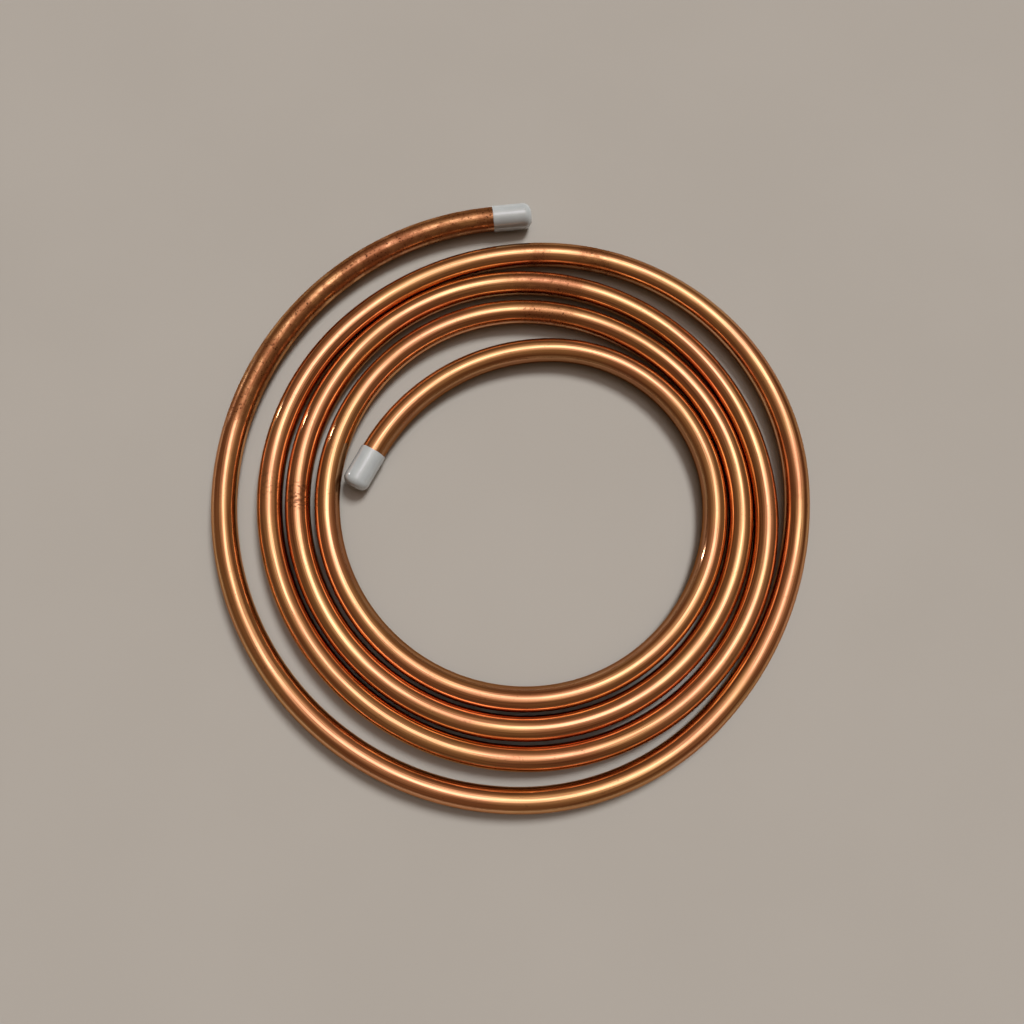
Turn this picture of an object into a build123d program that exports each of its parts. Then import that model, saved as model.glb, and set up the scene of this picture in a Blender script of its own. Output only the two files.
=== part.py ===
from build123d import *
import os
from math import cos, radians, sin

# Copper tube coil: one length of soft copper tube, wound in a loose flat spiral of a little over
# four turns, with a soft white cap pushed over each end. It lies on a level floor.
# Millimetres. +Z is up, +Y is away from the front, and the origin is on the floor, under the
# middle of the coil.

# Tube: soft copper, 12 mm across with a 1 mm wall, in a length of three metres
tube_od = 12.0
tube_wall = 1.0

# An even flat spiral would have this bend radius at its inside end and this gap between turns
inside_bend_radius = 83.0
turn_gap = 2.5

# The real coil lies loose. Each pair is one bend, from the inside end outwards: the angle that
# it goes round, in degrees, and how much wider (+) or tighter (-) its radius is than the even
# spiral's at that place
loose_bends = [
    (62, 17), (90, -8), (90, 3), (90, 2), (90, -1),
    (45, 9), (45, -6), (90, 1), (90, 2), (90, -1),
    (90, 2), (90, -2), (90, 2), (45, -6), (45, 14),
    (45, -4), (45, -12), (45, 24), (45, -6), (90, 6),
    (83, 6),
]

# The inside end points this way, in degrees from +X towards +Y, and from there the coil goes
# round clockwise, seen from above
start_heading = 62.0

# End caps: dip-moulded vinyl of one wall thickness, closed by a rounded end
cap_length = 20.5
cap_wall = 0.5
cap_corner_radius = 4.2
cap_mouth_radius = 0.2
cap_clearance = 0.05

# A cap goes on until the tube's end meets the rounding inside it, so the tube is straight there
cap_bore_radius = tube_od / 2 + cap_clearance
cap_outer_radius = cap_bore_radius + cap_wall
cap_grip = cap_length - cap_corner_radius

# The caps are the widest part, so the coil rests on them and its axis is this high
axis_height = cap_outer_radius


def bend_radii():
    """Radius of each bend: the even spiral's at its middle, and the looseness added."""
    radii = []
    turned = 0
    for sweep_angle, looseness in loose_bends:
        turns = (turned + sweep_angle / 2) / 360
        radii.append(inside_bend_radius + turns * (tube_od + turn_gap) + looseness)
        turned += sweep_angle
    return radii


def direction(heading):
    """Unit vector along a heading in the floor's plane."""
    return Vector(cos(radians(heading)), sin(radians(heading)))


def centre_line():
    """Axis of the tube: a straight end, one tangent arc for each bend, and a straight end."""
    heading = start_heading
    point = direction(heading) * cap_grip
    runs = [Line((0, 0), point)]
    for (sweep_angle, _), radius in zip(loose_bends, bend_radii()):
        centre = point + direction(heading - 90) * radius
        outwards = heading + 90
        middle = centre + direction(outwards - sweep_angle / 2) * radius
        end = centre + direction(outwards - sweep_angle) * radius
        runs.append(ThreePointArc(point, middle, end))
        point = end
        heading -= sweep_angle
    runs.append(Line(point, point + direction(heading) * cap_grip))
    return Wire([run.edge() for run in runs])


def copper_tube(axis):
    """The tube: its ring-shaped section carried along the whole axis."""
    ring = Circle(tube_od / 2) - Circle(tube_od / 2 - tube_wall)
    return sweep(Plane(axis @ 0, z_dir=axis % 0) * ring, path=axis)


def round_ended(radius, length, corner_radius):
    """A plug that stands on its flat end, with its far end rounded."""
    plug = Cylinder(radius, length, align=(Align.CENTER, Align.CENTER, Align.MIN))
    return fillet(plug.faces().sort_by(Axis.Z)[-1].edges(), corner_radius)


def end_cap(tube_end, outwards):
    """A cap on the tube's end: a rounded plug, hollowed to one wall thickness."""
    outside = round_ended(cap_outer_radius, cap_length, cap_corner_radius)
    inside = round_ended(cap_bore_radius, cap_length - cap_wall, cap_corner_radius - cap_wall)
    cap = outside - inside
    mouth = cap.edges().filter_by(GeomType.CIRCLE).group_by(Axis.Z)[0].sort_by(SortBy.RADIUS)[-1]
    cap = fillet(mouth, cap_mouth_radius)
    return Plane(tube_end - outwards * cap_grip, z_dir=outwards) * cap


axis = centre_line()
nodes = {
    "copper_tube": copper_tube(axis),
    "inner_end_cap": end_cap(axis @ 0, -(axis % 0)),
    "outer_end_cap": end_cap(axis @ 1, axis % 1),
}

middle = Compound(list(nodes.values())).bounding_box().center()
to_floor = Pos(-middle.X, -middle.Y, axis_height)

os.makedirs("parts", exist_ok=True)
for name, solid in nodes.items():
    export_step(to_floor * solid, f"parts/{name}.step")
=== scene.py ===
from math import atan2, cos, pi, radians, sin

import bpy
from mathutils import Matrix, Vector


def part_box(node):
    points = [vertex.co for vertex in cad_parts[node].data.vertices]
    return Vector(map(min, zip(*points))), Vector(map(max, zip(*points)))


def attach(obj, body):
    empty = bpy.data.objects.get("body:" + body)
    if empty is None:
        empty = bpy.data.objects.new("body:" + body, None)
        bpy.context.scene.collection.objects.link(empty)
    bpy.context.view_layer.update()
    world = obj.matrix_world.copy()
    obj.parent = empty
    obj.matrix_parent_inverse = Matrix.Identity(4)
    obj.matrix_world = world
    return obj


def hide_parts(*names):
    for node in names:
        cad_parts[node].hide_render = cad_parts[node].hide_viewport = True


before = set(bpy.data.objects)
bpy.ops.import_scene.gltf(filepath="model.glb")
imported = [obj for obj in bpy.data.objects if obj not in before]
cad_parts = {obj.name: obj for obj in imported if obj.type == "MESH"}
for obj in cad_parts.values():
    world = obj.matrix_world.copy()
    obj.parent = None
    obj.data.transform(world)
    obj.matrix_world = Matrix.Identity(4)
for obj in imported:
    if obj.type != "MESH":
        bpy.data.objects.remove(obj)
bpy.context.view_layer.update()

# Copper tube
# One three-metre length of soft copper tube, 12 mm across with a 1 mm wall. It was drawn straight,
# which left fine lines along it, and was then wound by hand into a loose flat spiral.
tube_radius = 0.006
bore_radius = 0.005
straight_end = 0.0163
start_heading = radians(62)

# An even spiral's bend radius at its inside end, and how much wider it is one turn further out
inside_bend_radius = 0.083
growth_in_a_turn = 0.0145

# Each bend from the inside end outwards: how far round it goes, in degrees, and how much wider or
# tighter it is than the even spiral there
loose_bends = [
    (62, 0.017), (90, -0.008), (90, 0.003), (90, 0.002), (90, -0.001),
    (45, 0.009), (45, -0.006), (90, 0.001), (90, 0.002), (90, -0.001),
    (90, 0.002), (90, -0.002), (90, 0.002), (45, -0.006), (45, 0.014),
    (45, -0.004), (45, -0.012), (45, 0.024), (45, -0.006), (90, 0.006),
    (83, 0.006),
]


def towards(heading):
    """Unit vector along a heading in the floor's plane."""
    return Vector((cos(heading), sin(heading), 0))


def tube_runs():
    """The runs of the tube's axis from the inside end outwards: a straight end, the bends and a
    straight end. Each gives its start, heading and distance along the tube, its length, how far
    it bends and the point that it bends round."""
    heading = start_heading
    yield Vector(), heading, 0, straight_end, 0, None
    point = towards(heading) * straight_end
    along = straight_end
    turned = 0
    for degrees_round, looseness in loose_bends:
        turns = (turned + degrees_round / 2) / 360
        bend_radius = inside_bend_radius + turns * growth_in_a_turn + looseness
        bend = radians(degrees_round)
        centre = point + towards(heading - pi / 2) * bend_radius
        yield point, heading, along, bend * bend_radius, bend, centre
        heading -= bend
        point = centre + towards(heading + pi / 2) * bend_radius
        along += bend * bend_radius
        turned += degrees_round
    yield point, heading, along, straight_end, 0, None


def select_only(*pieces):
    """Makes these the only pieces that the next operators act on."""
    bpy.ops.object.select_all(action="DESELECT")
    for piece in pieces:
        piece.select_set(True)
    bpy.context.view_layer.objects.active = pieces[0]


def wound_wall(radius, points_round, ring_spacing):
    """One wall of the tube: for each run a circle, stood up and carried along it. An attribute
    keeps where each point lay on the straight tube: across and up from its axis, and along it."""
    lengths = []
    for start, heading, along, length, bend, centre in tube_runs():
        bpy.ops.object.select_all(action="DESELECT")
        bpy.ops.mesh.primitive_circle_add(vertices=points_round, radius=radius, location=start,
                                          rotation=(pi / 2, 0, heading + pi / 2))
        wall = bpy.context.object
        drawn = wall.data.attributes.new("drawn", "FLOAT_VECTOR", "POINT")
        for vertex in wall.data.vertices:
            drawn.data[vertex.index].vector = vertex.co
        bpy.ops.object.transform_apply()

        rings = max(1, round(length / ring_spacing)) if bend else 1
        bpy.ops.object.mode_set(mode="EDIT")
        bpy.ops.mesh.select_all(action="SELECT")
        if bend:
            bpy.ops.mesh.spin(steps=rings, angle=bend, center=centre, axis=(0, 0, 1))
        else:
            run = towards(heading) * length
            bpy.ops.mesh.extrude_region_move(TRANSFORM_OT_translate={"value": run})
        bpy.ops.object.mode_set(mode="OBJECT")

        # Edit mode makes the attribute anew, so it is fetched again
        drawn = wall.data.attributes["drawn"]
        for vertex in wall.data.vertices:
            ring = vertex.index // points_round
            drawn.data[vertex.index].vector.z = along + length * ring / rings
        lengths.append(wall)
    select_only(*lengths)
    bpy.ops.object.join()
    return bpy.context.object


tube = wound_wall(tube_radius, points_round=48, ring_spacing=0.0025)
bore = wound_wall(bore_radius, points_round=16, ring_spacing=0.0075)
select_only(tube, bore)
bpy.ops.object.join()
tube.name = "copper_tube_wound"

# The lengths are joined where they meet, and the wall is bridged shut at each end, out of sight
# in the cap. The bridge's faces cross, and so the bore's faces point into the metal.
# Points nearer than this count as one
weld = 0.00001
bpy.ops.object.mode_set(mode="EDIT")
bpy.ops.mesh.select_all(action="SELECT")
bpy.ops.mesh.remove_doubles(threshold=weld)
bpy.ops.object.mode_set(mode="OBJECT")
drawn = tube.data.attributes["drawn"]
tube_length = max(point.vector.z for point in drawn.data)
for end in (0, tube_length):
    bpy.ops.object.mode_set(mode="EDIT")
    bpy.ops.mesh.select_mode(type="EDGE")
    bpy.ops.mesh.select_all(action="DESELECT")
    bpy.ops.object.mode_set(mode="OBJECT")
    drawn = tube.data.attributes["drawn"]
    for edge in tube.data.edges:
        edge.select = all(abs(drawn.data[point].vector.z - end) < weld for point in edge.vertices)
    bpy.ops.object.mode_set(mode="EDIT")
    bpy.ops.mesh.bridge_edge_loops()
    bpy.ops.object.mode_set(mode="OBJECT")
bpy.ops.object.mode_set(mode="EDIT")
bpy.ops.mesh.select_all(action="SELECT")
bpy.ops.mesh.normals_make_consistent(inside=False)
bpy.ops.object.mode_set(mode="OBJECT")
sharpest_smooth_bend = radians(40)
bpy.ops.object.shade_smooth_by_angle(angle=sharpest_smooth_bend)

# It lies where the coil lies in the frame
cad_low, cad_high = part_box("copper_tube")
points = [point.co for point in tube.data.vertices]
low = Vector(min(point[side] for point in points) for side in range(3))
high = Vector(max(point[side] for point in points) for side in range(3))
to_floor = (cad_low + cad_high - low - high) / 2
tube.location = to_floor
bpy.ops.object.transform_apply()


class Socket:
    """A socket of a shader, so that Python sums are written with it: each sum adds a Math node."""

    def __init__(self, tree, socket=None):
        self.tree = tree
        self.socket = socket

    def node(self, kind, settings, values, output=0):
        """Adds a node: its type, then its settings, then the values or links of its sockets.
        Sockets go by name, or by number on the nodes where several share one name."""
        node = self.tree.nodes.new(kind)
        for name, setting in settings.items():
            setattr(node, name, setting)
        for name, value in values.items():
            if isinstance(value, Socket):
                self.tree.links.new(value.socket, node.inputs[name])
            else:
                node.inputs[name].default_value = value
        return Socket(self.tree, node.outputs[output] if node.outputs else None)

    def math(self, operation, first, second=0.0):
        """A Math node's result for these numbers or sockets."""
        return self.node("ShaderNodeMath", {"operation": operation}, {0: first, 1: second})

    def __add__(self, other):
        return self.math("ADD", self, other)

    __radd__ = __add__

    def __sub__(self, other):
        return self.math("SUBTRACT", self, other)

    def __rsub__(self, other):
        return self.math("SUBTRACT", other, self)

    def __mul__(self, other):
        return self.math("MULTIPLY", self, other)

    __rmul__ = __mul__

    def __truediv__(self, other):
        return self.math("DIVIDE", self, other)

    def scaled(self, across, up, along):
        """This vector, stretched along each of its axes."""
        return self.node("ShaderNodeVectorMath", {"operation": "MULTIPLY"},
                         {0: self, 1: (across, up, along)})

    def noise(self, scale, detail=2.0, roughness=0.5):
        """Noise over this vector, from 0 to 1."""
        return self.node("ShaderNodeTexNoise", {},
                         {"Vector": self, "Scale": scale, "Detail": detail, "Roughness": roughness})

    def between(self, low, high):
        """0 where this is under low, 1 where it is over high, and a smooth step between them."""
        return self.node("ShaderNodeMapRange", {"interpolation_type": "SMOOTHSTEP"},
                         {"Value": self, "From Min": low, "From Max": high})

    def mix(self, first, second):
        """The first colour where this is 0 and the second where it is 1."""
        return self.node("ShaderNodeMix", {"data_type": "RGBA"},
                         {0: self, 6: first, 7: second}, output=2)


def new_material(name):
    """An empty material, and a socket that its nodes are added from."""
    material = bpy.data.materials.new(name)
    material.use_nodes = True
    material.node_tree.nodes.clear()
    return material, Socket(material.node_tree)


def finish_material(start, values):
    """Gives the Principled surface its values and joins it to the output."""
    surface = start.node("ShaderNodeBsdfPrincipled", {}, values)
    start.node("ShaderNodeOutputMaterial", {}, {"Surface": surface})


copper_gold = (0.95, 0.555, 0.275, 1)
copper_rose = (0.94, 0.48, 0.265, 1)
copper_brown = (0.34, 0.12, 0.05, 1)
# The dark brown of the painted shade low on the flanks
flank_shade_brown = (0.24, 0.095, 0.045, 1)
copper_speck = (0.13, 0.045, 0.02, 1)
grazing_tint = (0.75, 0.5, 0.35, 1)

# Stretches where the tube is duller and browner: from one place along it to another, in metres, and
# how strongly
dull_stretches = [
    (0.700, 0.728, 0.7), (1.372, 1.412, 0.7), (2.144, 2.156, 0.9), (2.173, 2.192, 0.9),
    (2.835, 3.040, 1.0),
]

# Where the bending tool left fine marks across the tube, given the same way
chatter_stretches = [(1.198, 1.211, 1.0), (1.946, 1.959, 0.4)]

# How far the ends of these stretches fade, each way
dull_fade = 0.006
chatter_fade = 0.002

# Where the first turn ends and the last one begins, along the tube
first_turn_end = (0.54, 0.60)
last_turn_start = (2.05, 2.20)

copper, start = new_material("drawn_copper")
drawn = start.node("ShaderNodeAttribute", {"attribute_name": "drawn"}, {}, output="Vector")
across = start.node("ShaderNodeSeparateXYZ", {}, {"Vector": drawn}, output="X")
up = start.node("ShaderNodeSeparateXYZ", {}, {"Vector": drawn}, output="Y")
along = start.node("ShaderNodeSeparateXYZ", {}, {"Vector": drawn}, output="Z")


def on_stretches(stretches, fade):
    """The strength of these stretches of the tube on them and 0 off them, with soft ends."""
    mask = 0.0
    for first, last, strength in stretches:
        begun = along.between(first - fade, first + fade)
        over = along.between(last - fade, last + fade)
        mask = mask + begun * (1 - over) * strength
    return mask


# Patterns laid on the straight tube. What drawing left is stretched far along it
draw_lines = drawn.scaled(1, 1, 0.016).noise(850, detail=3, roughness=0.7)
die_streaks = drawn.scaled(1, 1, 0.02).noise(330)
unevenness = drawn.noise(75, detail=1)
scuffs = drawn.scaled(1, 1, 0.7).noise(700, detail=3, roughness=0.7)
blotches = drawn.scaled(1, 1, 0.6).noise(130, detail=5, roughness=0.65)
tint = drawn.scaled(1, 1, 0.3).noise(70, detail=3).between(0.42, 0.6)
tarnish = drawn.scaled(1, 1, 0.5).noise(36, detail=5, roughness=0.65).between(0.58, 0.74)
dulled = on_stretches(dull_stretches, dull_fade) * blotches.between(0.32, 0.58)
chattered = on_stretches(chatter_stretches, chatter_fade)
dashes = drawn.scaled(0.6, 0.6, 1).noise(1000, detail=1).between(0.5, 0.6) * chattered
speckled = blotches.between(0.5, 0.62) * 0.3 + dulled * 0.9
specks = drawn.noise(1100, detail=2).between(0.6, 0.68) * speckled + dashes * 0.6

# Painted shade: low down the tube is darker and browner, for the shaded floor that its flanks
# mirror, and most on the flanks that face no other turn: the first turn's inside and the last
# turn's outside
inner_flank = (1 - across.between(-0.0035, -0.001)) * (1 - along.between(*first_turn_end))
outer_flank = across.between(0.001, 0.0035) * along.between(*last_turn_start)
free_flank = inner_flank + outer_flank
low_down = 1 - up.between(0.0016, 0.0053)
painted_flank_shade = low_down * (0.08 + 0.62 * free_flank + 0.3 * blotches)

streaked = die_streaks.between(0.45, 0.65) * 0.3 + draw_lines.between(0.45, 0.6) * 0.4
stained = tarnish * 0.4 + dulled * (0.45 + 0.6 * scuffs)
colour = tint.mix(copper_gold, copper_rose)
colour = streaked.mix(colour, copper_brown)
colour = stained.mix(colour, copper_brown)
# Painted shade low on the flanks, with a little random variation
colour = painted_flank_shade.mix(colour, flank_shade_brown)
colour = specks.mix(colour, copper_speck)
matt = dulled * (0.15 + 0.2 * scuffs) + 0.3 * specks
roughness = 0.06 + 0.07 * draw_lines + 0.08 * tarnish + matt

# Heights are in millimetres
chatter = chattered * drawn.scaled(0.3, 0.3, 1).noise(600, detail=2)
wear = 0.12 * chatter + 0.03 * dulled * scuffs
relief = 0.07 * draw_lines + 0.1 * die_streaks + 0.12 * unevenness + wear
millimetre = 0.001
bump = start.node("ShaderNodeBump", {}, {"Strength": 1.0, "Distance": millimetre, "Height": relief})
finish_material(start, {
    "Base Color": colour,
    "Metallic": 1.0,
    "Specular Tint": grazing_tint,
    "Roughness": roughness,
    "Normal": bump,
})
tube.data.materials.append(copper)
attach(tube, "root")
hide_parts("copper_tube")

# End caps
# Two caps of soft white vinyl, dip-moulded with one thin wall and a rounded end. Each is pushed
# over an end of the tube, until the tube meets the rounding inside it.
cap_radius = 0.00655
cap_wall = 0.0005
cap_length = 0.0205
cap_corner = 0.0042
cap_mouth_rounding = 0.0002
mouth_wave = 0.00012
mouth_wave_reach = 0.0016

# How far apart the rings of the cap's side lie, as shares of its length, closest at the mouth
ring_steps = (0.02, 0.06, 0.14, 0.26, 0.26, 0.26)

# The flat of the rounded end sinks ring by ring: how far in each goes, and how much deeper
end_sinks = [(0.0007, 0.00004), (0.0007, 0.0001), (0.0005, 0.00003)]

bpy.ops.object.select_all(action="DESELECT")
bpy.ops.mesh.primitive_circle_add(vertices=64, radius=cap_radius)
cap = bpy.context.object
bpy.ops.object.mode_set(mode="EDIT")
bpy.ops.mesh.select_all(action="SELECT")
for share in ring_steps:
    bpy.ops.mesh.extrude_region_move(TRANSFORM_OT_translate={"value": (0, 0, cap_length * share)})

# The far end is closed and rounded. Its flat, the one face with many corners, sinks a little
bpy.ops.mesh.edge_face_add()
bpy.ops.mesh.bevel(offset=cap_corner, segments=8, affect="EDGES")
bpy.ops.mesh.select_all(action="SELECT")
bpy.ops.mesh.normals_make_consistent(inside=False)
bpy.ops.mesh.select_mode(type="FACE")
bpy.ops.mesh.select_all(action="DESELECT")
bpy.ops.object.mode_set(mode="OBJECT")
for face in cap.data.polygons:
    face.select = len(face.vertices) > 4
bpy.ops.object.mode_set(mode="EDIT")
for inwards, sink in end_sinks:
    bpy.ops.mesh.inset(thickness=inwards, depth=-sink)
bpy.ops.mesh.poke()
bpy.ops.mesh.select_all(action="SELECT")
bpy.ops.mesh.normals_make_consistent(inside=False)
bpy.ops.object.mode_set(mode="OBJECT")
wall = cap.modifiers.new("wall", "SOLIDIFY")
wall.thickness = cap_wall
wall.offset = -1
wall.use_even_offset = True
bpy.ops.object.modifier_apply(modifier=wall.name)

# The mouth's outer edge is rounded, and isn't quite even
bpy.ops.object.mode_set(mode="EDIT")
bpy.ops.mesh.select_mode(type="EDGE")
bpy.ops.mesh.select_all(action="DESELECT")
bpy.ops.object.mode_set(mode="OBJECT")
for edge in cap.data.edges:
    rim = [cap.data.vertices[point].co for point in edge.vertices]
    edge.select = all(co.z < weld and co.xy.length > cap_radius - weld for co in rim)
bpy.ops.object.mode_set(mode="EDIT")
bpy.ops.mesh.bevel(offset=cap_mouth_rounding, segments=3, affect="EDGES")
bpy.ops.object.mode_set(mode="OBJECT")
for vertex in cap.data.vertices:
    near_mouth = max(0, 1 - vertex.co.z / mouth_wave_reach)
    angle = atan2(vertex.co.y, vertex.co.x)
    vertex.co.z += mouth_wave * near_mouth * (1 + 0.6 * sin(2 * angle + 1) + 0.4 * sin(5 * angle))
smooth = cap.modifiers.new("smooth", "SUBSURF")
smooth.levels = 1
smooth.render_levels = 1
bpy.ops.object.modifier_apply(modifier=smooth.name)
bpy.ops.object.shade_smooth()
moulded = cap.data.attributes.new("moulded", "FLOAT_VECTOR", "POINT")
for vertex in cap.data.vertices:
    moulded.data[vertex.index].vector = vertex.co

vinyl_cool = (0.42, 0.465, 0.49, 1)
vinyl_white = (0.46, 0.51, 0.535, 1)
vinyl_smudge = (0.42, 0.39, 0.36, 1)

vinyl, start = new_material("white_vinyl")
moulded = start.node("ShaderNodeAttribute", {"attribute_name": "moulded"}, {}, output="Vector")
clouds = moulded.noise(170, detail=4).between(0.3, 0.7)
smudges = moulded.noise(420, detail=5, roughness=0.7).between(0.55, 0.75)
colour = clouds.mix(vinyl_cool, vinyl_white)
colour = (smudges * 0.25).mix(colour, vinyl_smudge)
relief = 0.05 * moulded.noise(140) + 0.003 * moulded.noise(1800)
bump = start.node("ShaderNodeBump", {}, {"Strength": 1.0, "Distance": millimetre, "Height": relief})
finish_material(start, {
    "Base Color": colour,
    "Roughness": 0.2 + 0.15 * smudges,
    "Specular IOR Level": 0.7,
    "Coat Weight": 0.7,
    "Coat Roughness": 0.07,
    "Coat IOR": 1.9,
    "Normal": bump,
})
cap.data.materials.append(vinyl)


def push_on(name, tube_end, outwards):
    """A copy of the cap, pushed over the tube's end."""
    select_only(cap)
    bpy.ops.object.duplicate()
    piece = bpy.context.object
    piece.name = name
    piece.location = tube_end - outwards * straight_end
    piece.rotation_euler = (pi / 2, 0, atan2(outwards.y, outwards.x) + pi / 2)
    bpy.ops.object.transform_apply()
    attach(piece, "root")
    return piece


first_run, *_, last_run = tube_runs()
inner_cap = push_on("inner_end_cap_moulded", first_run[0] + to_floor, -towards(first_run[1]))
outer_end = last_run[0] + towards(last_run[1]) * straight_end
outer_cap = push_on("outer_end_cap_moulded", outer_end + to_floor, towards(last_run[1]))
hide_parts("inner_end_cap")
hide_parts("outer_end_cap")
select_only(cap)
bpy.ops.object.delete()

# Floor
# The level floor that the coil lies on, plain, pale and matt. It reaches far past the coil on
# every side.
floor_width = 40
floor_grey = (0.40, 0.385, 0.36, 1)
floor_pale = (0.41, 0.395, 0.37, 1)

bpy.ops.object.select_all(action="DESELECT")
bpy.ops.mesh.primitive_plane_add(size=floor_width, location=(0, 0, 0))
floor = bpy.context.object
floor.name = "floor"
pale, start = new_material("pale_floor")
place = start.node("ShaderNodeTexCoord", {}, {}, output="Object")
clouds = place.noise(9, detail=4).between(0.3, 0.7)
finish_material(start, {
    "Base Color": clouds.mix(floor_grey, floor_pale),
    "Roughness": 0.9,
})
floor.data.materials.append(pale)

# Light
# A key light from above, behind and to the right lights the floor and the caps, and the metal
# doesn't mirror it. It mirrors a small lamp at the left, as a glint, and a dim room with a soft
# lamp overhead, whose light falls on everything.
key_way = Vector((-0.36, -0.60, -1))
glint_place = Vector((-0.80, 0.43, 0.20))
glint_way = Vector((0.92, -0.43, -0.2))
lamp_way = Vector((0.11, 0.22, 1.0)).normalized()

# The room's walls are paler low down. The lamp overhead is near white, and its glow is warm
wall_low = (0.26, 0.225, 0.18, 1)
wall_high = (0.115, 0.066, 0.037, 1)
lamp_glow = (1.0, 0.82, 0.62, 1)
lamp_white = (0.97, 0.905, 0.95, 1)

key = bpy.data.objects.new("key", bpy.data.lights.new("key", "SUN"))
key.data.energy = 2.65
key.data.angle = radians(18)
key.data.color = (0.99, 0.985, 0.965)
key.rotation_euler = key_way.to_track_quat("-Z", "Y").to_euler()
key.visible_glossy = False
bpy.context.scene.collection.objects.link(key)

glint = bpy.data.objects.new("glint", bpy.data.lights.new("glint", "AREA"))
glint.data.size = 0.035
glint.data.energy = 0.2
glint.location = glint_place
glint.rotation_euler = glint_way.to_track_quat("-Z", "Y").to_euler()
glint.visible_camera = False
glint.visible_diffuse = False
bpy.context.scene.collection.objects.link(glint)

world = bpy.data.worlds.new("room")
bpy.context.scene.world = world
world.use_nodes = True
world.node_tree.nodes.clear()
start = Socket(world.node_tree)
way = start.node("ShaderNodeTexCoord", {}, {}, output="Generated")
height = start.node("ShaderNodeSeparateXYZ", {}, {"Vector": way}, output="Z")
near_lamp = start.node("ShaderNodeVectorMath", {"operation": "DOT_PRODUCT"},
                       {0: way, 1: lamp_way}, output="Value")


def glow(spread):
    """1 towards the lamp's middle, fading away from it over this spread."""
    return start.math("EXPONENT", (near_lamp - 1.0) / spread)


core = glow(0.01)
lampshade = glow(0.06)
halo = glow(0.2)
walls = height.between(0.0, 0.3).mix(wall_low, wall_high)
room = start.node("ShaderNodeBackground", {}, {"Color": walls, "Strength": 1.0})
lit = start.node("ShaderNodeBackground", {}, {
    "Color": lampshade.mix(lamp_glow, lamp_white),
    "Strength": core * 1.05 + lampshade * 1.2 + halo * 0.31,
})
both = start.node("ShaderNodeAddShader", {}, {0: room, 1: lit})
start.node("ShaderNodeOutputWorld", {}, {"Surface": both})

# Camera
# It looks down on the coil from above its front, as the photograph was taken. Colours are shown
# plainly, with no film look.
camera = bpy.data.objects.new("camera", bpy.data.cameras.new("camera"))
camera.location = (-0.01246, -0.07627, 0.37805)
camera.rotation_euler = (radians(9.85), radians(-1.76), 0)
camera.data.lens = 27.07
camera.data.sensor_width = 36
camera.data.clip_start = 0.01
bpy.context.scene.collection.objects.link(camera)
bpy.context.scene.camera = camera
bpy.context.scene.view_settings.view_transform = "Standard"
